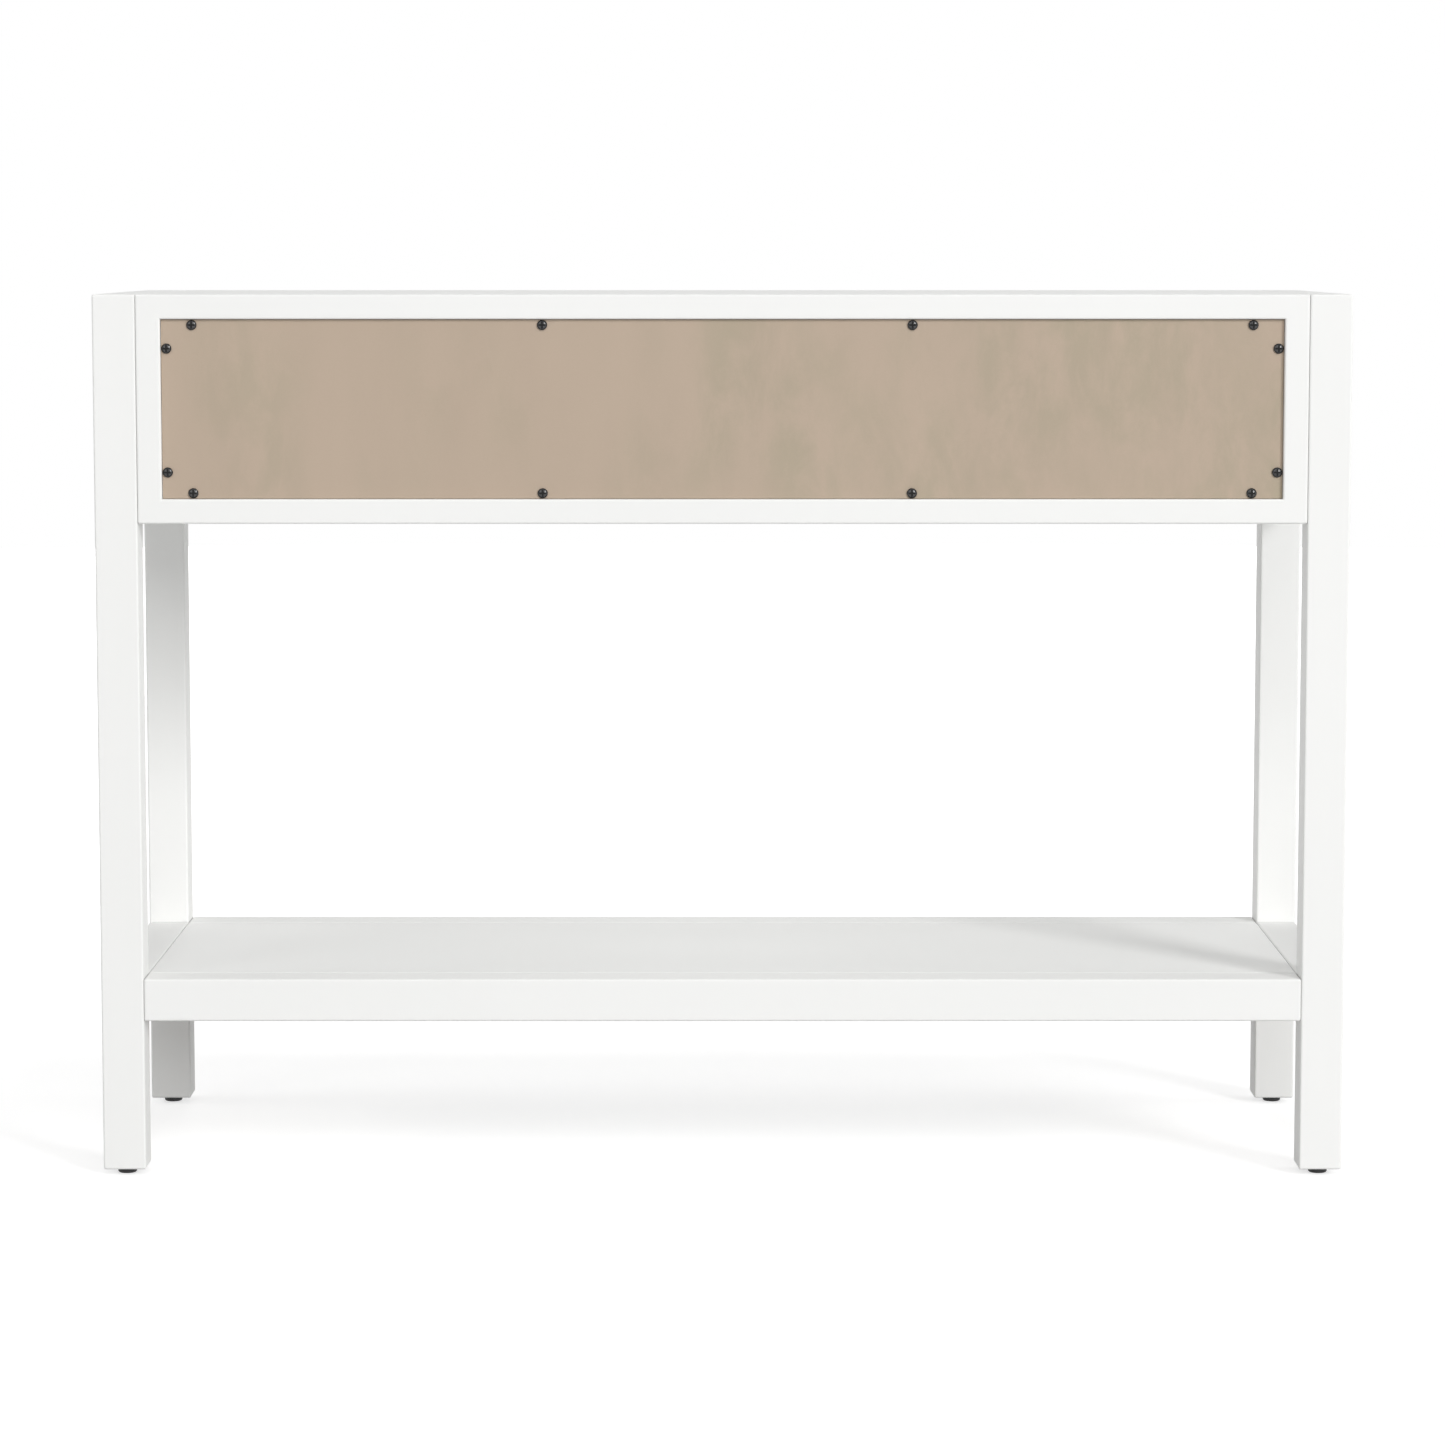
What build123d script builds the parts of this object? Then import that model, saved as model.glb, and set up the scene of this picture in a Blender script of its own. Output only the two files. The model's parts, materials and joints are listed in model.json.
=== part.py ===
from build123d import *
import os

# Console table: two end frames, a case of three drawers hung between them, and an open lower shelf.
# Millimetres, +Z up, the front faces -Y. The origin is on the floor, under the middle of the whole
# outline with its knobs. Left and right are as seen from the front.

# Whole table
table_width = 1170.0
table_depth = 404.0
table_height = 830.0
leg_size = 40.0
edge_round = 2.0

# Foot glides
glide_diameter = 18.0
glide_height = 6.0
glide_round = 2.0
glide_pin_diameter = 3.0
glide_pin_length = 20.0
glide_pin_fit = 0.1

# Drawer case
case_height = 213.0
case_board = 23.0
divider_thickness = 20.0

# Back panel, its battens and its screws
back_recess = 5.0
back_thickness = 5.0
back_fit = 0.4
batten_size = 15.0
back_screw_inset = 5.4
corner_screw_reach = 29.0
side_screw_reach = 26.0
side_screw_drop = 1.2
middle_screw_pitch = 344.0
middle_screw_shift = -4.5
back_screw_length = 15.0
back_screw_shank = 3.8
back_screw_head = 9.4
back_screw_head_height = 2.8

# Lower shelf
shelf_height = 188.0
shelf_thickness = 40.0
shelf_rail_width = 40.0
shelf_panel_thickness = 18.0
shelf_batten_width = 22.0

# Dowels
dowel_diameter = 8.0
dowel_length = 36.0
dowel_chamfer = 0.8
dowel_fit = 0.1
bore_end_gap = 1.0
panel_dowel_margin = 35.0
stretcher_dowel_spacing = 22.0
shelf_dowel_pitch = 218.0
divider_dowel_spacing = 240.0

# Connecting bolts and their threaded inserts
bolt_diameter = 6.0
bolt_head_diameter = 12.0
bolt_head_height = 3.5
bolt_seat_depth = 4.0
bolt_hex_across = 4.0
bolt_hex_depth = 2.0
bolt_fit = 0.3
bolt_spacing = 200.0
case_bolt_margin = 52.0
insert_diameter = 10.0
insert_length = 16.0
insert_fit = 0.1

# Drawers
front_thickness = 20.0
front_gap = 2.0
drawer_rear_gap = 16.0
drawer_lift = 8.0
side_thickness = 16.0
side_height = 118.0
side_clearance = 1.0
front_seat = 6.0
bottom_thickness = 5.0
bottom_rise = 10.0
bottom_seat = 5.0
drawer_back_thickness = 12.0
drawer_back_setback = 10.0
drawer_back_drop = 8.0
back_seat = 5.0
joint_fit = 0.1

# Drawer runners and their screws
runner_width = 7.0
runner_height = 16.0
runner_front_setback = 45.0
runner_rear_setback = 20.0
runner_rise = 62.0
running_fit = 0.4
runner_screw_spacing = 200.0
runner_screw_length = 15.0
runner_screw_shank = 3.5
runner_screw_head = 7.0
screw_fit = 0.1
countersink_angle = 90.0

# Drawer knobs and their screws
knob_reach = 26.0
knob_diameter = 28.0
knob_head_thickness = 12.0
knob_rim = 3.0
knob_neck_diameter = 11.0
knob_base_diameter = 16.0
knob_base_thickness = 3.0
knob_screw_shank = 4.0
knob_screw_grip = 10.0
knob_screw_tip_gap = 2.0
knob_screw_head = 8.0
knob_screw_head_height = 2.6

# Cross recess of the screws, as shares of the head's diameter and height
recess_length_share = 0.7
recess_width_share = 0.18
recess_depth_share = 0.5
head_rim_share = 0.44

# Places that follow from the sizes above
front_y = (knob_reach - table_depth) / 2
rear_y = front_y + table_depth
middle_y = front_y + table_depth / 2
leg_x = (table_width - leg_size) / 2
case_x = table_width / 2 - leg_size
bay_x = case_x - case_board
leg_faces = {-1: front_y + leg_size, 1: rear_y - leg_size}
case_low = table_height - case_height
case_middle_z = table_height - case_height / 2
inside_low = case_low + case_board
inside_high = table_height - case_board
back_y = rear_y - back_recess
batten_y = back_y - back_thickness
inside_rear_y = batten_y - batten_size
shelf_low = shelf_height - shelf_thickness
shelf_middle = shelf_height - shelf_thickness / 2
panel_low = shelf_height - shelf_panel_thickness
rail_faces = {-1: front_y + shelf_rail_width, 1: rear_y - shelf_rail_width}
bay_width = 2 * (bay_x - divider_thickness) / 3
bay_step = bay_width + divider_thickness
side_low = inside_low + drawer_lift
side_high = side_low + side_height
bottom_low = side_low + bottom_rise
bottom_high = bottom_low + bottom_thickness
front_back_y = front_y + front_thickness
drawer_rear_y = inside_rear_y - drawer_rear_gap
drawer_back_y = drawer_rear_y - drawer_back_setback
runner_front_y = front_y + runner_front_setback
runner_rear_y = drawer_rear_y - runner_rear_setback
runner_z = side_low + runner_rise
knob_z = (inside_low + inside_high) / 2

# Directions along X and Y by the names that the pieces carry
sides = {"left": -1, "right": 1}
ends = {"front": -1, "rear": 1}
bays = {"left": -bay_step, "centre": 0.0, "right": bay_step}
every_axis = (Axis.X, Axis.Y, Axis.Z)

os.makedirs("parts", exist_ok=True)


def save(piece, name):
    """Label a finished piece and write it out."""
    piece.part.label = name
    export_step(piece.part, f"parts/{name}.step")


def block(corner, far_corner, mode=Mode.ADD):
    """A box between two opposite corners, added to or cut from the piece being built."""
    size = Vector(*far_corner) - Vector(*corner)
    with Locations(Vector(*corner) + size / 2):
        Box(abs(size.X), abs(size.Y), abs(size.Z), mode=mode)


def drill(bores):
    """Cut bores, each given as its mouth planes, its radius and its depth."""
    for mouths, radius, bore_depth in bores:
        with Locations(*mouths):
            Hole(radius, bore_depth)


def board(corner, far_corner, eased_along=(), bores=()):
    """A straight board with its bores. Its edges along the given axes are eased."""
    with BuildPart() as piece:
        block(corner, far_corner)
        eased_edges = [edge for axis in eased_along for edge in piece.edges().filter_by(axis)]
        if eased_edges:
            fillet(eased_edges, edge_round)
        drill(bores)
    return piece


def dowel_bores(joints):
    """Bores for dowels that stand half in each of two pieces."""
    return [(joints, dowel_diameter / 2 + dowel_fit, dowel_length / 2 + bore_end_gap)]


def save_dowels(joints, name):
    """A group of dowels, each centred on its joint."""
    with BuildPart() as dowels:
        with BuildSketch(*joints):
            Circle(dowel_diameter / 2)
        extrude(amount=dowel_length / 2, both=True)
        chamfer(dowels.edges().filter_by(GeomType.CIRCLE), dowel_chamfer)
    save(dowels, name)


def cross_recess(head_diameter, depth, top):
    """Cut a cross-shaped drive into the top of the screw being built."""
    length = head_diameter * recess_length_share
    slot = head_diameter * recess_width_share
    with BuildSketch(Plane.XY.offset(top)) as recess:
        Rectangle(length, slot)
        Rectangle(slot, length)
    extrude(recess.sketch, amount=-depth, mode=Mode.SUBTRACT)


def pan_screw(head_diameter, head_height, shank_diameter, length):
    """A domed screw along Z, with the underside of its head on the XY plane."""
    head, shank = head_diameter / 2, shank_diameter / 2
    rim = head_height * head_rim_share
    with BuildPart() as screw:
        with BuildSketch(Plane.XZ):
            with BuildLine():
                TangentArc((0, head_height), (head, rim), tangent=(1, 0))
                Polyline((head, rim), (head, 0), (shank, 0), (shank, shank - length))
                Polyline((shank, shank - length), (0, -length), (0, head_height))
            make_face()
        revolve(axis=Axis.Z)
        cross_recess(head_diameter, head_height * recess_depth_share, head_height)
    return screw.part


def flat_screw(head_diameter, shank_diameter, length):
    """A countersunk screw along Z, with the top of its head on the XY plane."""
    head, shank = head_diameter / 2, shank_diameter / 2
    cone = head - shank
    with BuildPart() as screw:
        with BuildSketch(Plane.XZ):
            with BuildLine():
                Polyline((0, 0), (head, 0), (shank, -cone), (shank, shank - length))
                Polyline((shank, shank - length), (0, -length), (0, 0))
            make_face()
        revolve(axis=Axis.Z)
        cross_recess(head_diameter, cone * recess_depth_share, 0)
    return screw.part


def save_group(solid, places, name):
    """Copies of one solid at several planes, as one group."""
    with BuildPart() as group:
        with Locations(*places):
            add(solid)
    save(group, name)


# Dowel joints. Each is a plane on the face where two pieces meet, square to the dowel.
def side_panel_joints(side, end):
    heights = (case_low + panel_dowel_margin, case_middle_z, table_height - panel_dowel_margin)
    return [Plane((side * leg_x, leg_faces[end], z), z_dir=(0, end, 0)) for z in heights]


def stretcher_joints(side, end):
    heights = [shelf_middle + share * stretcher_dowel_spacing / 2 for share in (-1, 1)]
    return [Plane((side * leg_x, leg_faces[end], z), z_dir=(0, end, 0)) for z in heights]


def rail_end_joint(side, end):
    rail_y = rail_faces[end] + end * shelf_rail_width / 2
    return [Plane((side * case_x, rail_y, shelf_middle), z_dir=(side, 0, 0))]


def shelf_panel_joints(end):
    dowel_z = shelf_height - shelf_panel_thickness / 2
    places = [step * shelf_dowel_pitch for step in (-2, -1, 0, 1, 2)]
    return [Plane((x, rail_faces[end], dowel_z), z_dir=(0, end, 0)) for x in places]


def divider_joints(side, face_z):
    places = [middle_y + share * divider_dowel_spacing / 2 for share in (-1, 1)]
    return [Plane((side * bay_step / 2, y, face_z)) for y in places]


# Bolt mouths, on the inner faces of the case's sides and of the shelf's end battens
bolt_places_y = [middle_y + share * bolt_spacing / 2 for share in (-1, 1)]


def case_bolt_mouths(side):
    heights = (case_low + case_bolt_margin, table_height - case_bolt_margin)
    return [Plane((side * bay_x, y, z), z_dir=(-side, 0, 0)) for y in bolt_places_y for z in heights]


def shelf_bolt_mouths(side):
    face_x = side * (case_x - shelf_batten_width)
    bolt_z = (shelf_low + panel_low) / 2
    return [Plane((face_x, y, bolt_z), z_dir=(-side, 0, 0)) for y in bolt_places_y]


def insert_mouths(bolt_mouths, thickness):
    return [mouth.offset(-thickness) for mouth in bolt_mouths]


def insert_bores(bolt_mouths, thickness):
    depth = insert_length + bore_end_gap
    return [(insert_mouths(bolt_mouths, thickness), insert_diameter / 2 + insert_fit, depth)]


def bolt_counterbores(bolt_mouths):
    """Cut the clearance holes and head seats of a row of bolts."""
    with Locations(*bolt_mouths):
        CounterBoreHole(bolt_diameter / 2 + bolt_fit, bolt_head_diameter / 2 + bolt_fit, bolt_seat_depth)


# Runner screws, on the walls that the runners lie against
runner_middle_y = (runner_front_y + runner_rear_y) / 2


def runner_screw_mouths(wall_x, facing):
    places = [runner_middle_y + share * runner_screw_spacing / 2 for share in (-1, 1)]
    return [Plane((wall_x, y, runner_z), z_dir=(facing, 0, 0)) for y in places]


def runner_pilot_bores(wall_x, facing):
    depth = runner_screw_length - runner_width + screw_fit
    return [(runner_screw_mouths(wall_x, facing), runner_screw_shank / 2 + screw_fit, depth)]


# Back screws, by the batten that takes them
screw_top_z = inside_high - back_screw_inset
screw_bottom_z = inside_low + back_screw_inset
screw_side_x = bay_x - back_screw_inset
row_x = [
    corner_screw_reach - bay_x,
    middle_screw_shift - middle_screw_pitch / 2,
    middle_screw_shift + middle_screw_pitch / 2,
    bay_x - corner_screw_reach,
]
column_z = (
    inside_low + side_screw_reach - side_screw_drop,
    inside_high - side_screw_reach - side_screw_drop,
)
back_screws = {
    "top": [Plane((x, back_y, screw_top_z), z_dir=(0, 1, 0)) for x in row_x],
    "bottom": [Plane((x, back_y, screw_bottom_z), z_dir=(0, 1, 0)) for x in row_x],
    "left": [Plane((-screw_side_x, back_y, z), z_dir=(0, 1, 0)) for z in column_z],
    "right": [Plane((screw_side_x, back_y, z), z_dir=(0, 1, 0)) for z in column_z],
}
all_back_screws = [place for row in back_screws.values() for place in row]
back_screw_bore = back_screw_shank / 2 + screw_fit

# Legs
for end_name, end in ends.items():
    for side_name, side in sides.items():
        outer_y = leg_faces[end] + end * leg_size
        joints = side_panel_joints(side, end) + stretcher_joints(side, end) + rail_end_joint(side, end)
        pin_mouth = Plane((side * leg_x, (outer_y + leg_faces[end]) / 2, glide_height))
        pin_bore = ([pin_mouth], glide_pin_diameter / 2 + glide_pin_fit, glide_pin_length + bore_end_gap)
        leg = board(
            (side * case_x, leg_faces[end], glide_height),
            (side * table_width / 2, outer_y, table_height),
            every_axis,
            dowel_bores(joints) + [pin_bore],
        )
        save(leg, f"leg_{end_name}_{side_name}")

# Foot glides: a disc with a rounded rim, on a pin driven up into the leg
for end_name, end in ends.items():
    for side_name, side in sides.items():
        centre = (side * leg_x, leg_faces[end] + end * leg_size / 2)
        with BuildPart() as glide:
            with BuildSketch(Plane.XY):
                with Locations(centre):
                    Circle(glide_diameter / 2)
            extrude(amount=glide_height)
            fillet(glide.edges().group_by(Axis.Z)[0], glide_round)
            with BuildSketch(Plane.XY.offset(glide_height)):
                with Locations(centre):
                    Circle(glide_pin_diameter / 2)
            extrude(amount=glide_pin_length)
        save(glide, f"foot_glide_{end_name}_{side_name}")

# Upper side panels and lower stretchers, between the front and the rear leg of each end frame
for side_name, side in sides.items():
    near = (side * case_x, leg_faces[-1])
    far = (side * table_width / 2, leg_faces[1])
    panel_joints = side_panel_joints(side, -1) + side_panel_joints(side, 1)
    panel_bores = dowel_bores(panel_joints) + insert_bores(case_bolt_mouths(side), case_board)
    panel = board((*near, case_low), (*far, table_height), every_axis, panel_bores)
    save(panel, f"side_panel_{side_name}")
    bar_joints = stretcher_joints(side, -1) + stretcher_joints(side, 1)
    bar_bores = dowel_bores(bar_joints) + insert_bores(shelf_bolt_mouths(side), shelf_batten_width)
    stretcher = board((*near, shelf_low), (*far, shelf_height), every_axis, bar_bores)
    save(stretcher, f"side_stretcher_{side_name}")


def mitred_board(outer_face, length, bores):
    """One board of the case, cut from the whole ring at its mitres.

    The plane lies on the board's outer face, with local Y pointing out of the case.
    """
    tip = length / 2 + edge_round
    root = length / 2 - case_board - edge_round
    depth = case_board + edge_round
    with BuildPart() as piece:
        block((-case_x, front_y, case_low), (case_x, rear_y, table_height))
        fillet(piece.edges(), edge_round)
        block((-bay_x, front_y, inside_low), (bay_x, rear_y, inside_high), Mode.SUBTRACT)
        for rim in (0, -1):
            fillet(piece.faces().sort_by(Axis.Y)[rim].inner_wires()[0].edges(), edge_round)
        with BuildSketch(outer_face):
            with BuildLine():
                Polyline((-tip, edge_round), (tip, edge_round), (root, -depth), (-root, -depth), close=True)
            make_face()
        extrude(amount=table_depth, both=True, mode=Mode.INTERSECT)
        drill(bores)
    return piece


# Case: top, bottom and two sides
top_joints = divider_joints(-1, inside_high) + divider_joints(1, inside_high)
bottom_joints = divider_joints(-1, inside_low) + divider_joints(1, inside_low)
top_plane = Plane((0, middle_y, table_height), x_dir=(1, 0, 0), z_dir=(0, -1, 0))
bottom_plane = Plane((0, middle_y, case_low), x_dir=(-1, 0, 0), z_dir=(0, -1, 0))
save(mitred_board(top_plane, 2 * case_x, dowel_bores(top_joints)), "case_top")
save(mitred_board(bottom_plane, 2 * case_x, dowel_bores(bottom_joints)), "case_bottom")
for side_name, side in sides.items():
    side_plane = Plane((side * case_x, middle_y, case_middle_z), x_dir=(0, 0, -side), z_dir=(0, -1, 0))
    upright = mitred_board(side_plane, case_height, runner_pilot_bores(side * bay_x, -side))
    with BuildPart() as case_side:
        add(upright.part)
        bolt_counterbores(case_bolt_mouths(side))
    save(case_side, f"case_side_{side_name}")

# Dividers between the drawer bays
for side_name, side in sides.items():
    divider_x = side * bay_step / 2
    half = divider_thickness / 2
    joints = divider_joints(side, inside_low) + divider_joints(side, inside_high)
    pilots = runner_pilot_bores(divider_x - half, -1) + runner_pilot_bores(divider_x + half, 1)
    divider = board(
        (divider_x - half, front_y, inside_low),
        (divider_x + half, inside_rear_y, inside_high),
        (Axis.Z,),
        dowel_bores(joints) + pilots,
    )
    save(divider, f"case_divider_{side_name}")

# Back panel, the battens that it is screwed to, and its screws
back_panel = board(
    (back_fit - bay_x, batten_y, inside_low + back_fit),
    (bay_x - back_fit, back_y, inside_high - back_fit),
    bores=[(all_back_screws, back_screw_bore, back_thickness + screw_fit)],
)
save(back_panel, "back_panel")
batten_corners = {
    "top": ((-bay_x, inside_high - batten_size), (bay_x, inside_high)),
    "bottom": ((-bay_x, inside_low), (bay_x, inside_low + batten_size)),
    "left": ((-bay_x, inside_low + batten_size), (batten_size - bay_x, inside_high - batten_size)),
    "right": ((bay_x - batten_size, inside_low + batten_size), (bay_x, inside_high - batten_size)),
}
for row_name, ((low_x, low_z), (high_x, high_z)) in batten_corners.items():
    batten = board(
        (low_x, inside_rear_y, low_z),
        (high_x, batten_y, high_z),
        bores=[(back_screws[row_name], back_screw_bore, back_screw_length + screw_fit)],
    )
    save(batten, f"back_batten_{row_name}")
back_screw = pan_screw(back_screw_head, back_screw_head_height, back_screw_shank, back_screw_length)
save_group(back_screw, all_back_screws, "back_panel_screws")

# Lower shelf: two rails, the panel between them and a batten under each end
for end_name, end in ends.items():
    joints = shelf_panel_joints(end) + rail_end_joint(-1, end) + rail_end_joint(1, end)
    rail = board(
        (-case_x, rail_faces[end], shelf_low),
        (case_x, rail_faces[end] + end * shelf_rail_width, shelf_height),
        every_axis,
        dowel_bores(joints),
    )
    save(rail, f"shelf_{end_name}_rail")
shelf_panel = board(
    (-case_x, rail_faces[-1], panel_low),
    (case_x, rail_faces[1], shelf_height),
    every_axis,
    dowel_bores(shelf_panel_joints(-1) + shelf_panel_joints(1)),
)
save(shelf_panel, "shelf_panel")
for side_name, side in sides.items():
    with BuildPart() as end_batten:
        block(
            (side * (case_x - shelf_batten_width), rail_faces[-1], shelf_low),
            (side * case_x, rail_faces[1], panel_low),
        )
        bolt_counterbores(shelf_bolt_mouths(side))
    save(end_batten, f"shelf_end_batten_{side_name}")

# Dowels of the end frames, the shelf and the case
frame_joints = []
rail_joints = []
for side in sides.values():
    for end in ends.values():
        frame_joints += side_panel_joints(side, end) + stretcher_joints(side, end)
        rail_joints += rail_end_joint(side, end)
save_dowels(frame_joints, "frame_dowels")
save_dowels(rail_joints + shelf_panel_joints(-1) + shelf_panel_joints(1), "shelf_dowels")
save_dowels(top_joints + bottom_joints, "case_dowels")

# Connecting bolts and the inserts that they screw into
bolt_rows = [(case_bolt_mouths(side), case_board) for side in sides.values()]
bolt_rows += [(shelf_bolt_mouths(side), shelf_batten_width) for side in sides.values()]
with BuildPart() as bolts:
    for mouths, thickness in bolt_rows:
        seats = [mouth.offset(-bolt_seat_depth) for mouth in mouths]
        with BuildSketch(*seats):
            Circle(bolt_head_diameter / 2)
            RegularPolygon(bolt_hex_across / 2, 6, major_radius=False, mode=Mode.SUBTRACT)
        extrude(amount=bolt_head_height)
        with BuildSketch(*seats):
            Circle(bolt_head_diameter / 2)
        extrude(amount=bolt_head_height - bolt_hex_depth)
        with BuildSketch(*seats):
            Circle(bolt_diameter / 2)
        extrude(amount=bolt_seat_depth - thickness - insert_length)
save(bolts, "connecting_bolts")
with BuildPart() as inserts:
    for mouths, thickness in bolt_rows:
        with BuildSketch(*insert_mouths(mouths, thickness)):
            Circle(insert_diameter / 2)
            Circle(bolt_diameter / 2 + insert_fit, mode=Mode.SUBTRACT)
        extrude(amount=-insert_length)
save(inserts, "threaded_inserts")

# Runners and their screws
runner_screw = flat_screw(runner_screw_head, runner_screw_shank, runner_screw_length)
runner_screw_places = []
for bay_name, bay_middle in bays.items():
    with BuildPart() as runners:
        for side in sides.values():
            wall_x = bay_middle + side * bay_width / 2
            face_x = wall_x - side * runner_width
            block(
                (wall_x, runner_front_y, runner_z - runner_height / 2),
                (face_x, runner_rear_y, runner_z + runner_height / 2),
            )
            mouths = [mouth.offset(runner_width) for mouth in runner_screw_mouths(wall_x, -side)]
            with Locations(*mouths):
                CounterSinkHole(
                    runner_screw_shank / 2 + screw_fit,
                    runner_screw_head / 2 + screw_fit,
                    runner_width + screw_fit,
                    counter_sink_angle=countersink_angle,
                )
            runner_screw_places += mouths
    save(runners, f"drawer_runners_{bay_name}")
save_group(runner_screw, runner_screw_places, "runner_screws")


def drawer_side(bay_middle, side):
    """One drawer side, grooved outside for its runner and inside for the bottom and the back."""
    outer_x = bay_middle + side * (bay_width / 2 - side_clearance)
    inner_x = outer_x - side * side_thickness
    groove_x = outer_x - side * (runner_width - side_clearance + running_fit)
    groove_half = runner_height / 2 + running_fit
    start_y = front_back_y - front_seat
    with BuildPart() as piece:
        block((outer_x, start_y, side_low), (inner_x, drawer_rear_y, side_high))
        block(
            (outer_x, runner_front_y - running_fit, runner_z - groove_half),
            (groove_x, drawer_rear_y, runner_z + groove_half),
            Mode.SUBTRACT,
        )
        block(
            (inner_x, start_y, bottom_low - joint_fit),
            (inner_x + side * bottom_seat, drawer_rear_y, bottom_high + joint_fit),
            Mode.SUBTRACT,
        )
        block(
            (inner_x, drawer_back_y - drawer_back_thickness - joint_fit, bottom_high),
            (inner_x + side * back_seat, drawer_back_y + joint_fit, side_high),
            Mode.SUBTRACT,
        )
    return piece


def drawer_front(bay_middle):
    """An inset drawer front, housed for the two sides and grooved for the bottom."""
    half = bay_width / 2 - front_gap
    side_outer = bay_width / 2 - side_clearance
    with BuildPart() as piece:
        block(
            (bay_middle - half, front_y, inside_low + front_gap),
            (bay_middle + half, front_back_y, inside_high - front_gap),
        )
        fillet(piece.faces().sort_by(Axis.Y)[0].edges(), edge_round)
        for side in sides.values():
            block(
                (bay_middle + side * side_outer, front_back_y, side_low - joint_fit),
                (
                    bay_middle + side * (side_outer - side_thickness - joint_fit),
                    front_back_y - front_seat - joint_fit,
                    side_high + joint_fit,
                ),
                Mode.SUBTRACT,
            )
        block(
            (bay_middle - side_outer + side_thickness, front_back_y, bottom_low - joint_fit),
            (bay_middle + side_outer - side_thickness, front_back_y - bottom_seat, bottom_high + joint_fit),
            Mode.SUBTRACT,
        )
        drill([([Plane((bay_middle, front_y, knob_z), z_dir=(0, -1, 0))], knob_hole, front_thickness)])
    return piece


def drawer_knob(bay_middle):
    """A turned mushroom knob. Its plane's local Y points out of the drawer front."""
    profile = Plane((bay_middle, front_y, knob_z), x_dir=(1, 0, 0), z_dir=(0, 0, -1))
    head, neck, base = knob_diameter / 2, knob_neck_diameter / 2, knob_base_diameter / 2
    under = knob_reach - knob_head_thickness
    rim = under + knob_rim
    waist = (neck, (knob_base_thickness + under) / 2)
    with BuildPart() as knob:
        with BuildSketch(profile):
            with BuildLine():
                Polyline((0, 0), (base, 0), (base, knob_base_thickness))
                ThreePointArc((base, knob_base_thickness), waist, (head - knob_rim, under))
                Line((head - knob_rim, under), (head, rim))
                TangentArc((0, knob_reach), (head, rim), tangent=(1, 0))
                Line((0, knob_reach), (0, 0))
            make_face()
        revolve(axis=Axis(profile.origin, profile.y_dir))
        thread_mouth = Plane((bay_middle, front_y, knob_z), z_dir=(0, 1, 0))
        drill([([thread_mouth], knob_hole, knob_screw_grip + knob_screw_tip_gap)])
    return knob


# Drawers
knob_hole = knob_screw_shank / 2 + screw_fit
knob_screw_length = front_thickness + knob_screw_grip
knob_screw = pan_screw(knob_screw_head, knob_screw_head_height, knob_screw_shank, knob_screw_length)
inner_half = bay_width / 2 - side_clearance - side_thickness
for bay_name, bay_middle in bays.items():
    name = f"drawer_{bay_name}"
    save(drawer_front(bay_middle), f"{name}_front")
    for side_name, side in sides.items():
        save(drawer_side(bay_middle, side), f"{name}_side_{side_name}")
    back_half = inner_half + back_seat - joint_fit
    drawer_back = board(
        (bay_middle - back_half, drawer_back_y - drawer_back_thickness, bottom_high),
        (bay_middle + back_half, drawer_back_y, side_high - drawer_back_drop),
    )
    save(drawer_back, f"{name}_back")
    bottom_half = inner_half + bottom_seat - joint_fit
    drawer_bottom = board(
        (bay_middle - bottom_half, front_back_y - bottom_seat + joint_fit, bottom_low),
        (bay_middle + bottom_half, drawer_back_y, bottom_high),
    )
    save(drawer_bottom, f"{name}_bottom")
    save(drawer_knob(bay_middle), f"{name}_knob")
    screw_place = Plane((bay_middle, front_back_y, knob_z), z_dir=(0, 1, 0))
    save_group(knob_screw, [screw_place], f"{name}_knob_screw")
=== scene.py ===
import json
import math

import bpy
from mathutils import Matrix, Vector


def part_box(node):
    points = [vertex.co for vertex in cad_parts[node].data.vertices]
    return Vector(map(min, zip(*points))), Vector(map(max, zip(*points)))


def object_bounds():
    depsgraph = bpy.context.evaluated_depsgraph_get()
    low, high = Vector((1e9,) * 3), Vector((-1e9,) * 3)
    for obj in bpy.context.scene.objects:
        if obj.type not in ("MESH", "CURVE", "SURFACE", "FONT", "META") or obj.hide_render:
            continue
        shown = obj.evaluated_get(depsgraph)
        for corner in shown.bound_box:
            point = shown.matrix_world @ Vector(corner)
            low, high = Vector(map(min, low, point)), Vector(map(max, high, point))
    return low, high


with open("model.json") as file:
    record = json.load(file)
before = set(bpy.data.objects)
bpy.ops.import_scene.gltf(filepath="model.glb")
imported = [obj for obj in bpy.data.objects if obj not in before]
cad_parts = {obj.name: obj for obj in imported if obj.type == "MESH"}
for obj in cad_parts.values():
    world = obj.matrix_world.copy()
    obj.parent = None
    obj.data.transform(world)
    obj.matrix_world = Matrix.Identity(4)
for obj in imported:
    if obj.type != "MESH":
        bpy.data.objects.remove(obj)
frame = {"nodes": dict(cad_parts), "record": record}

# Console table: the finish of every piece, the photograph's camera and a plain studio.
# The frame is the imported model's: +Z up, the drawers face -Y and the back panel faces +Y.
# Lengths are in metres, angles in degrees unless named otherwise, and colours are linear RGBA.

cad_low, cad_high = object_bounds()
slot_of_node = {row["node"]: row["material_slot"] for row in frame["record"]["subparts"]}


# Node building

def new_material(name):
    """A new material, as itself, its node tree and its shader."""
    material = bpy.data.materials.new(name)
    material.use_nodes = True
    return material, material.node_tree, material.node_tree.nodes["Principled BSDF"]


def feed(tree, socket, value):
    """Set a socket to a value, or link it to another node's output."""
    if isinstance(value, bpy.types.NodeSocket):
        tree.links.new(value, socket)
    else:
        socket.default_value = value


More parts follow.
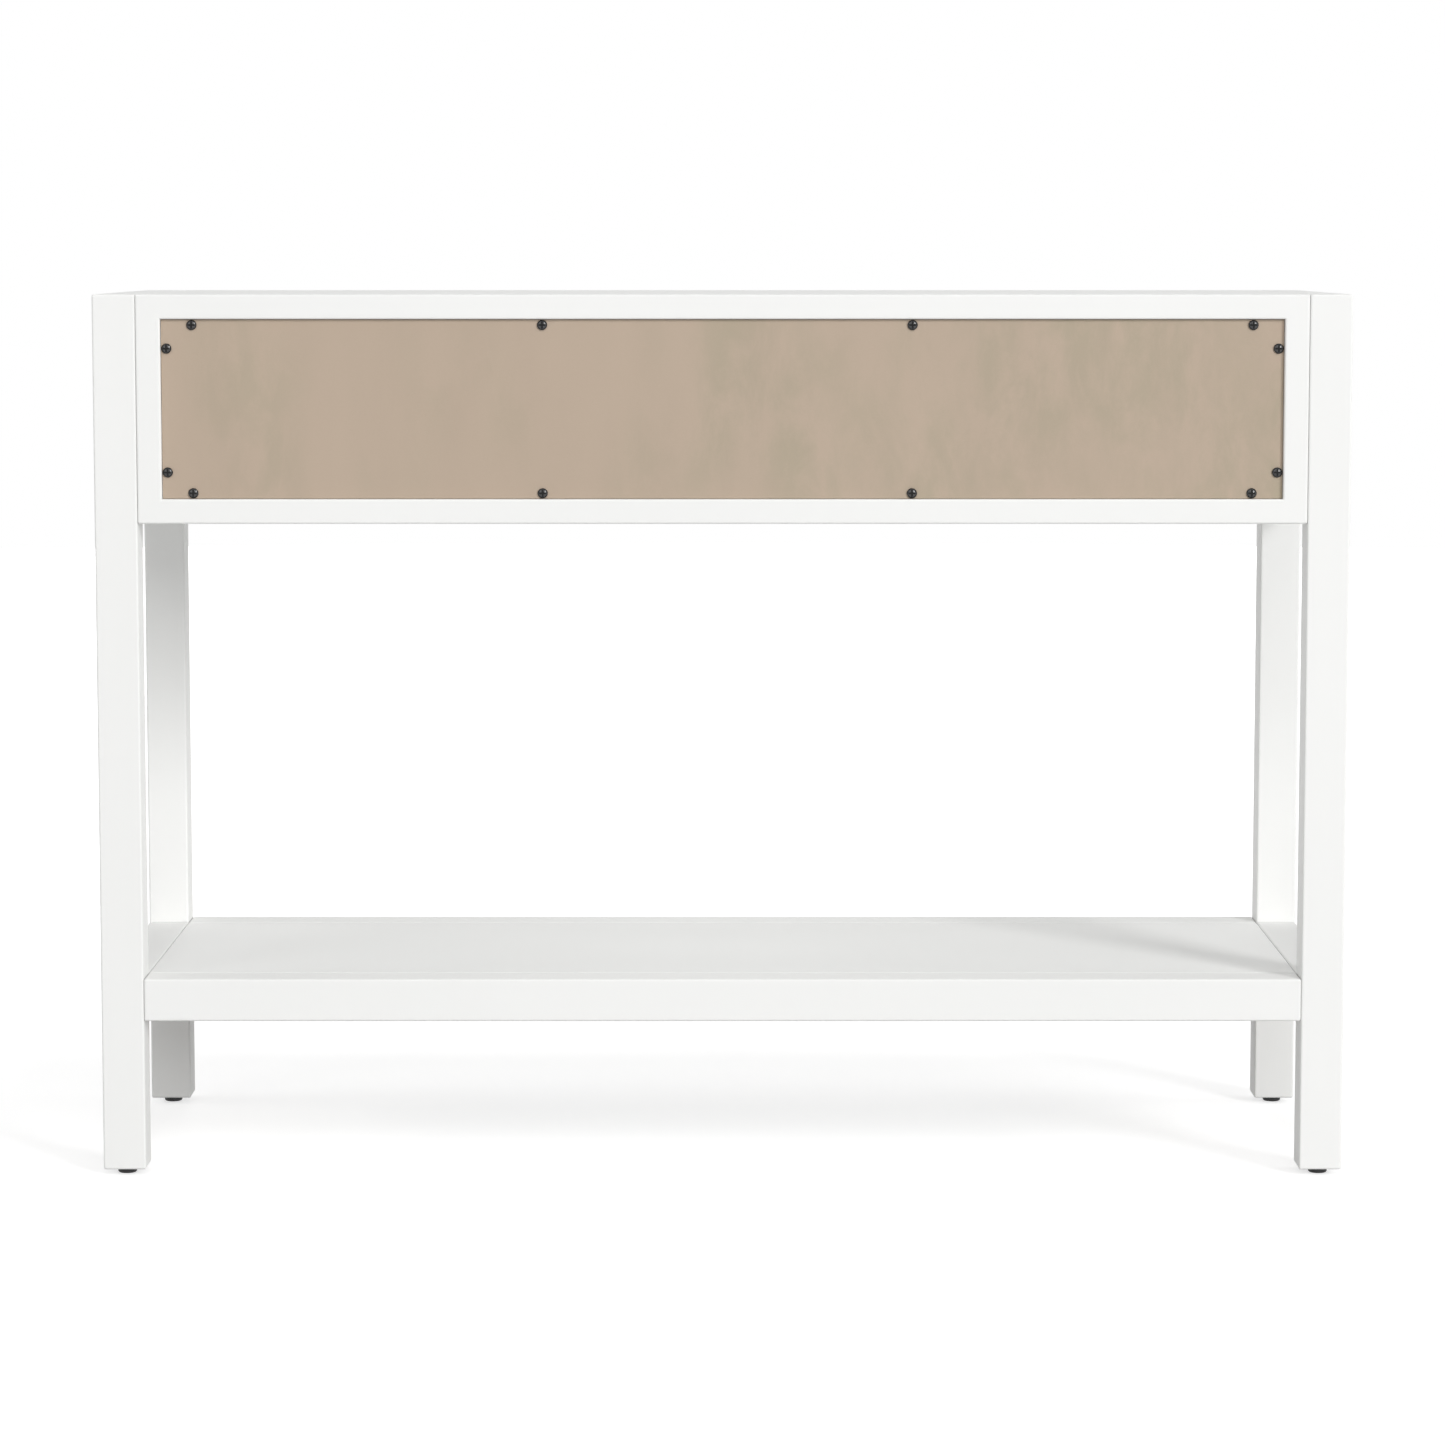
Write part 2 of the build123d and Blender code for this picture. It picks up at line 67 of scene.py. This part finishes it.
def add_node(tree, kind, inputs=(), **settings):
    """A node with its settings made and its sockets set or linked."""
    node = tree.nodes.new(kind)
    for name, value in settings.items():
        setattr(node, name, value)
    for socket, value in dict(inputs).items():
        feed(tree, node.inputs[socket], value)
    return node


def place(tree, stretch=(1.0, 1.0, 1.0)):
    """The model's own coordinates, scaled along each axis. A small scale draws a pattern out."""
    coordinates = add_node(tree, "ShaderNodeTexCoord").outputs["Object"]
    mapping = add_node(tree, "ShaderNodeMapping", {"Vector": coordinates, "Scale": stretch})
    return mapping.outputs["Vector"]


def noise(tree, vector, size, detail=3.0, roughness=0.5, distortion=0.0):
    """Cloudy noise from 0 to 1 whose patches are about the given size across."""
    inputs = {
        "Vector": vector,
        "Scale": 1.0 / size,
        "Detail": detail,
        "Roughness": roughness,
        "Distortion": distortion,
    }
    return add_node(tree, "ShaderNodeTexNoise", inputs).outputs["Fac"]


def remap(tree, value, span, to=(0.0, 1.0)):
    """A value moved from one span to another, and held at its ends."""
    inputs = {"Value": value, "From Min": span[0], "From Max": span[1], "To Min": to[0], "To Max": to[1]}
    return add_node(tree, "ShaderNodeMapRange", inputs).outputs["Result"]


def combine(tree, operation, first, second):
    """Two numbers put together by one arithmetic step."""
    node = add_node(tree, "ShaderNodeMath", operation=operation)
    feed(tree, node.inputs[0], first)
    feed(tree, node.inputs[1], second)
    return node.outputs["Value"]


def blend(tree, share, first, second):
    """A colour between two colours."""
    node = add_node(tree, "ShaderNodeMix", data_type="RGBA")
    feed(tree, node.inputs["Factor"], share)
    feed(tree, node.inputs["A"], first)
    feed(tree, node.inputs["B"], second)
    return node.outputs["Result"]


def raise_surface(tree, shader, height, depth, strength):
    """Bump from a height between 0 and 1 that stands for a real depth."""
    inputs = {"Height": height, "Distance": depth, "Strength": strength}
    bump = add_node(tree, "ShaderNodeBump", inputs)
    tree.links.new(bump.outputs["Normal"], shader.inputs["Normal"])


# Most values of a noise lie in this span
usual = (0.3, 0.7)


# White paint
paint_pale = (0.888, 0.889, 0.876, 1)
paint_dark = (0.872, 0.874, 0.860, 1)
# Grey painted into the seams as shade
painted_seam_shade = (0.58, 0.58, 0.57, 1)
paint_drift_size = 0.35
paint_stipple_size = 0.0022
paint_stipple_depth = 0.00004
paint_stipple_strength = 0.6
paint_roughness = (0.57, 0.63)
paint_specular = 0.3

# Painted shade in the seams: ambient occlusion greys the paint where other surfaces close in within this
# reach. Openness is 1 in the open and 0 in a joint.
seam_reach = 0.002
seam_samples = 16
seam_openness = (0.75, 0.3)
joint_openness = (0.02, 0.06)


def painted_seam_shade_share(tree):
    """How much painted shade a spot gets from lying in a narrow seam: 0 in the open, and 0 on faces that
    lie against each other.
    """
    inputs = {"Distance": seam_reach}
    openness = add_node(tree, "ShaderNodeAmbientOcclusion", inputs, samples=seam_samples).outputs["AO"]
    closed_in = remap(tree, openness, seam_openness)
    return combine(tree, "MULTIPLY", closed_in, remap(tree, openness, joint_openness))


def white_paint():
    """Satin white paint: a faint drift of tone, seams greyed with painted shade, and the fine stipple of a
    sprayed coat.
    """
    material, tree, shader = new_material("white_paint")
    here = place(tree)
    drift = noise(tree, here, paint_drift_size, detail=2.0)
    stipple = noise(tree, here, paint_stipple_size, detail=2.0)
    colour = blend(tree, remap(tree, drift, usual), paint_dark, paint_pale)
    # The seams are greyed with painted shade
    feed(tree, shader.inputs["Base Color"], blend(tree, painted_seam_shade_share(tree), colour, painted_seam_shade))
    feed(tree, shader.inputs["Roughness"], remap(tree, stipple, usual, paint_roughness))
    shader.inputs["Specular IOR Level"].default_value = paint_specular
    raise_surface(tree, shader, stipple, paint_stipple_depth, paint_stipple_strength)
    return material


# Beige hardboard
board_warm = (0.474, 0.377, 0.291, 1)
board_green = (0.400, 0.340, 0.249, 1)
board_shade = (0.434, 0.345, 0.266, 1)
board_fibre = (0.36, 0.29, 0.22, 1)
board_roughness = (0.62, 0.75)
cloud_stretch = (1.0, 1.0, 0.5)
patch_size = 0.13
patch_span = (0.42, 0.66)
cloud_size = 0.032
cloud_span = (0.39, 0.61)
streak_stretch = (1.0, 1.0, 0.25)
streak_size = 0.05
streak_share = (0.0, 0.5)
fibre_stretch = (1.0, 1.0, 2.5)
fibre_size = 0.0016
fibre_span = (0.3, 0.75)
fibre_share = (0.0, 0.12)
fibre_depth = 0.00005
fibre_strength = 0.7


def back_board():
    """Beige hardboard with soft greenish patches, faint upright streaks and pressed fibres."""
    material, tree, shader = new_material("back_board")
    upright = place(tree, cloud_stretch)
    patches = remap(tree, noise(tree, upright, patch_size, detail=2.0), patch_span)
    clouds = noise(tree, upright, cloud_size, detail=6.0, roughness=0.65, distortion=0.3)
    green_share = combine(tree, "MULTIPLY", patches, remap(tree, clouds, cloud_span))
    streaks = noise(tree, place(tree, streak_stretch), streak_size, detail=4.0)
    fibres = noise(tree, place(tree, fibre_stretch), fibre_size, detail=3.0, roughness=0.7)
    colour = blend(tree, green_share, board_warm, board_green)
    colour = blend(tree, remap(tree, streaks, usual, streak_share), colour, board_shade)
    colour = blend(tree, remap(tree, fibres, fibre_span, fibre_share), colour, board_fibre)
    feed(tree, shader.inputs["Base Color"], colour)
    feed(tree, shader.inputs["Roughness"], remap(tree, fibres, usual, board_roughness))
    raise_surface(tree, shader, fibres, fibre_depth, fibre_strength)
    return material


# Wood. The pattern is scaled down along the grain, which draws it out.
grain_scale = 0.06
grain_stretches = {
    "x": (grain_scale, 1.0, 1.0),
    "y": (1.0, grain_scale, 1.0),
    "z": (1.0, 1.0, grain_scale),
}
lines_per_figure = 7.0
line_share = (0.15, 0.75)
figure_span = (0.25, 0.75)
pores_per_ring = 12
pore_span = (0.58, 0.8)
pore_share = (0.0, 0.35)
pore_gloss_span = (0.3, 0.8)
pore_gloss_loss = 0.12
pore_depth = 0.00006
pore_strength = 0.5
woods = {
    "drawer_birch": dict(pale=(0.73, 0.58, 0.40, 1), dark=(0.60, 0.44, 0.27, 1), ring=0.03, roughness=0.42),
    "beech": dict(pale=(0.56, 0.36, 0.20, 1), dark=(0.42, 0.24, 0.12, 1), ring=0.02, roughness=0.45),
    "raw_pine": dict(pale=(0.66, 0.46, 0.24, 1), dark=(0.50, 0.29, 0.12, 1), ring=0.025, roughness=0.6),
}


def wood(name, stretch, pale, dark, ring, roughness):
    """Planed wood: wavy growth lines a ring apart, and short pores drawn out along the grain."""
    material, tree, shader = new_material(name)
    along = place(tree, stretch)
    figure = noise(tree, along, ring, detail=4.0, roughness=0.55, distortion=1.2)
    pores = noise(tree, along, ring / pores_per_ring, detail=2.0, roughness=0.6)
    lines = combine(tree, "FRACT", combine(tree, "MULTIPLY", figure, lines_per_figure), 0.0)
    drawn_lines = remap(tree, lines, (0.0, 1.0), line_share)
    dark_share = combine(tree, "MULTIPLY", drawn_lines, remap(tree, figure, figure_span))
    colour = blend(tree, dark_share, pale, dark)
    colour = blend(tree, remap(tree, pores, pore_span, pore_share), colour, dark)
    feed(tree, shader.inputs["Base Color"], colour)
    gloss = (roughness, roughness + pore_gloss_loss)
    feed(tree, shader.inputs["Roughness"], remap(tree, pores, pore_gloss_span, gloss))
    raise_surface(tree, shader, pores, pore_depth, pore_strength)
    return material


# Black screws. Down from the top of the head the metal is bare as far as the bare depth. From the black
# depth on, painted shade makes it black, which takes in the rim and the floor of the cross recess.
# Painted shade: black for the rim and the floor of the cross recess
screw_painted_shade_black = (0.002, 0.002, 0.002, 1)
screw_bare_dark = (0.045, 0.045, 0.046, 1)
screw_bare_pale = (0.070, 0.070, 0.071, 1)
screw_bare_depth = 0.0006
screw_shade_depth = 0.0012
screw_stain_size = 0.002
screw_roughness = (0.15, 0.2)
screw_specular = 0.3
screw_mark_size = 0.0006
screw_mark_depth = 0.000005
screw_mark_strength = 0.3


def black_screw():
    """Blackened steel: the dome is burnished, while its rim and the cross recess are painted dark as shade.
    """
    material, tree, shader = new_material("black_screw")
    here = place(tree)
    head_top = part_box("back_panel_screws")[1].y
    stain = noise(tree, here, screw_stain_size, detail=3.0)
    height = add_node(tree, "ShaderNodeSeparateXYZ", {"Vector": here}).outputs["Y"]
    burnish_and_painted_shade = remap(tree, height, (head_top - screw_shade_depth, head_top - screw_bare_depth))
    bare = blend(tree, stain, screw_bare_dark, screw_bare_pale)
    # The rim and the recess are painted black as shade
    feed(tree, shader.inputs["Base Color"], blend(tree, burnish_and_painted_shade, screw_painted_shade_black, bare))
    feed(tree, shader.inputs["Roughness"], remap(tree, stain, usual, screw_roughness))
    shader.inputs["Specular IOR Level"].default_value = screw_specular
    raise_surface(tree, shader, noise(tree, here, screw_mark_size), screw_mark_depth, screw_mark_strength)
    return material


# Black glides
glide_dark = (0.012, 0.012, 0.013, 1)
glide_pale = (0.020, 0.020, 0.021, 1)
glide_roughness = (0.4, 0.55)
glide_texture_size = 0.0007
glide_texture_depth = 0.00003
glide_texture_strength = 0.5


def glide_plastic():
    """Black moulded plastic with a fine spark-eroded texture."""
    material, tree, shader = new_material("glide_plastic")
    texture = noise(tree, place(tree), glide_texture_size, detail=2.0)
    feed(tree, shader.inputs["Base Color"], blend(tree, texture, glide_dark, glide_pale))
    feed(tree, shader.inputs["Roughness"], remap(tree, texture, usual, glide_roughness))
    raise_surface(tree, shader, texture, glide_texture_depth, glide_texture_strength)
    return material


# Plated metals
polish_size = 0.0012
polish_gloss_loss = 0.1
polish_depth = 0.00001
polish_strength = 0.4
metals = {
    "satin_nickel": dict(pale=(0.62, 0.58, 0.52, 1), dark=(0.54, 0.50, 0.45, 1), roughness=0.26),
    "zinc_steel": dict(pale=(0.66, 0.67, 0.69, 1), dark=(0.56, 0.57, 0.60, 1), roughness=0.3),
}


def metal(name, pale, dark, roughness):
    """Plated metal with fine polishing marks."""
    material, tree, shader = new_material(name)
    marks = noise(tree, place(tree), polish_size, detail=2.0)
    feed(tree, shader.inputs["Base Color"], blend(tree, marks, pale, dark))
    shader.inputs["Metallic"].default_value = 1.0
    gloss = (roughness, roughness + polish_gloss_loss)
    feed(tree, shader.inputs["Roughness"], remap(tree, marks, usual, gloss))
    raise_surface(tree, shader, marks, polish_depth, polish_strength)
    return material


# The finish of every piece

finishes = {
    "white_paint": white_paint(),
    "back_board": back_board(),
    "black_screw": black_screw(),
    "glide_plastic": glide_plastic(),
}
for slot, looks in metals.items():
    finishes[slot] = metal(slot, **looks)
for slot, looks in woods.items():
    for axis, stretch in grain_stretches.items():
        finishes[slot, axis] = wood(slot + "_" + axis, stretch, **looks)


def finish_of(node_name):
    """The finish of a piece. A wooden one's grain runs along its longest side."""
    slot = slot_of_node[node_name]
    if slot not in woods:
        return finishes[slot]
    low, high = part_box(node_name)
    lengths = list(high - low)
    return finishes[slot, "xyz"[lengths.index(max(lengths))]]


for node_name, node in frame["nodes"].items():
    node.data.materials.clear()
    node.data.materials.append(finish_of(node_name))


# Camera, as the photograph was taken: from behind the table, just above its top
camera_distance = 4.2364
camera_height = 0.8741
camera_pitch_radians = 0.1042
focal_length_mm = 113.4
sensor_width_mm = 36.0
camera_reach = 100.0

rear_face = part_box("leg_rear_left")[1].y
camera = bpy.data.objects.new("camera", bpy.data.cameras.new("camera"))
camera.data.lens = focal_length_mm
camera.data.sensor_width = sensor_width_mm
camera.data.clip_end = camera_reach
camera.location = (0.0, rear_face + camera_distance, camera_height)
camera.rotation_euler = (math.pi / 2 - camera_pitch_radians, 0.0, math.pi)
bpy.context.scene.collection.objects.link(camera)
bpy.context.scene.camera = camera


# Studio
white = (1, 1, 1, 1)
ambient_strength = 0.36
seen_strength = 1.0
floor_radius = 9.0
floor_sides = 64
floor_colour = (0.6, 0.6, 0.6, 1)
floor_roughness = 0.9
shadow_span = (0.8, 2.4)
shadow_lift = (0.6, 1.0)

# Azimuth 0 is the camera's side, and turns towards +X. Power is in watts.
lamps = {
    "key": dict(azimuth=-36, elevation=21, distance=20.0, width=5.0, height=9.0, power=2260),
    "left": dict(azimuth=39, elevation=21, distance=20.0, width=5.0, height=9.0, power=270),
    "middle": dict(azimuth=0, elevation=34, distance=12.0, width=6.0, height=3.0, power=185),
    "front": dict(azimuth=180, elevation=8, distance=14.0, width=4.0, height=2.0, power=960),
    "side_left": dict(azimuth=90, elevation=28, distance=12.0, width=5.0, height=2.0, power=150),
    "side_right": dict(azimuth=-90, elevation=28, distance=12.0, width=5.0, height=2.0, power=150),
}
fills = ("front", "side_left", "side_right")


def seen_directly(tree):
    """1 for rays that show the studio as a picture: to the camera, in a gloss or through glass."""
    path = add_node(tree, "ShaderNodeLightPath").outputs
    mirrored = combine(tree, "MAXIMUM", path["Is Glossy Ray"], path["Is Transmission Ray"])
    return combine(tree, "MAXIMUM", path["Is Camera Ray"], mirrored)


def studio_world():
    """Even white light all round, and plain white where the world itself is seen."""
    world = bpy.data.worlds.new("studio")
    world.use_nodes = True
    tree = world.node_tree
    lit = tree.nodes["Background"]
    lit.inputs["Color"].default_value = white
    lit.inputs["Strength"].default_value = ambient_strength
    seen = add_node(tree, "ShaderNodeBackground", {"Color": white, "Strength": seen_strength})
    mix = add_node(tree, "ShaderNodeMixShader", {"Fac": seen_directly(tree)})
    tree.links.new(lit.outputs["Background"], mix.inputs[1])
    tree.links.new(seen.outputs["Background"], mix.inputs[2])
    tree.links.new(mix.outputs["Shader"], tree.nodes["World Output"].inputs["Surface"])
    bpy.context.scene.world = world


def studio_floor():
    """A pale round floor that keeps the table's shadow and fades to white away from it."""
    mesh = bpy.data.meshes.new("floor")
    turns = [math.tau * side / floor_sides for side in range(floor_sides)]
    rim = [(floor_radius * math.cos(turn), floor_radius * math.sin(turn), 0.0) for turn in turns]
    mesh.from_pydata(rim, [], [tuple(range(floor_sides))])
    floor = bpy.data.objects.new("floor", mesh)
    bpy.context.scene.collection.objects.link(floor)
    material, tree, shader = new_material("floor")
    shader.inputs["Base Color"].default_value = floor_colour
    shader.inputs["Roughness"].default_value = floor_roughness
    shader.inputs["Specular IOR Level"].default_value = 0.0
    here = add_node(tree, "ShaderNodeTexCoord").outputs["Object"]
    away = add_node(tree, "ShaderNodeVectorMath", {0: here}, operation="LENGTH").outputs["Value"]
    lift = remap(tree, away, shadow_span, shadow_lift)
    shader.inputs["Emission Color"].default_value = white
    feed(tree, shader.inputs["Emission Strength"], combine(tree, "MULTIPLY", seen_directly(tree), lift))
    mesh.materials.append(material)


def softbox(name, azimuth, elevation, distance, width, height, power):
    """A large soft lamp aimed at the middle of the table."""
    lamp = bpy.data.lights.new(name, "AREA")
    lamp.shape = "RECTANGLE"
    lamp.size = width
    lamp.size_y = height
    lamp.energy = power
    aim = Vector((0.0, 0.0, (cad_low.z + cad_high.z) / 2))
    turn = math.radians(azimuth)
    rise = math.radians(elevation)
    level = math.cos(rise)
    away = Vector((math.sin(turn) * level, math.cos(turn) * level, math.sin(rise)))
    holder = bpy.data.objects.new(name, lamp)
    holder.location = aim + away * distance
    holder.rotation_euler = (-away).to_track_quat("-Z", "Y").to_euler()
    holder.visible_camera = False
    bpy.context.scene.collection.objects.link(holder)
    return holder


studio_world()
studio_floor()
for lamp_name, facts in lamps.items():
    softbox(lamp_name, **facts)
for lamp_name in fills:
    bpy.data.objects[lamp_name].visible_glossy = False

bpy.context.scene.view_settings.view_transform = "Standard"
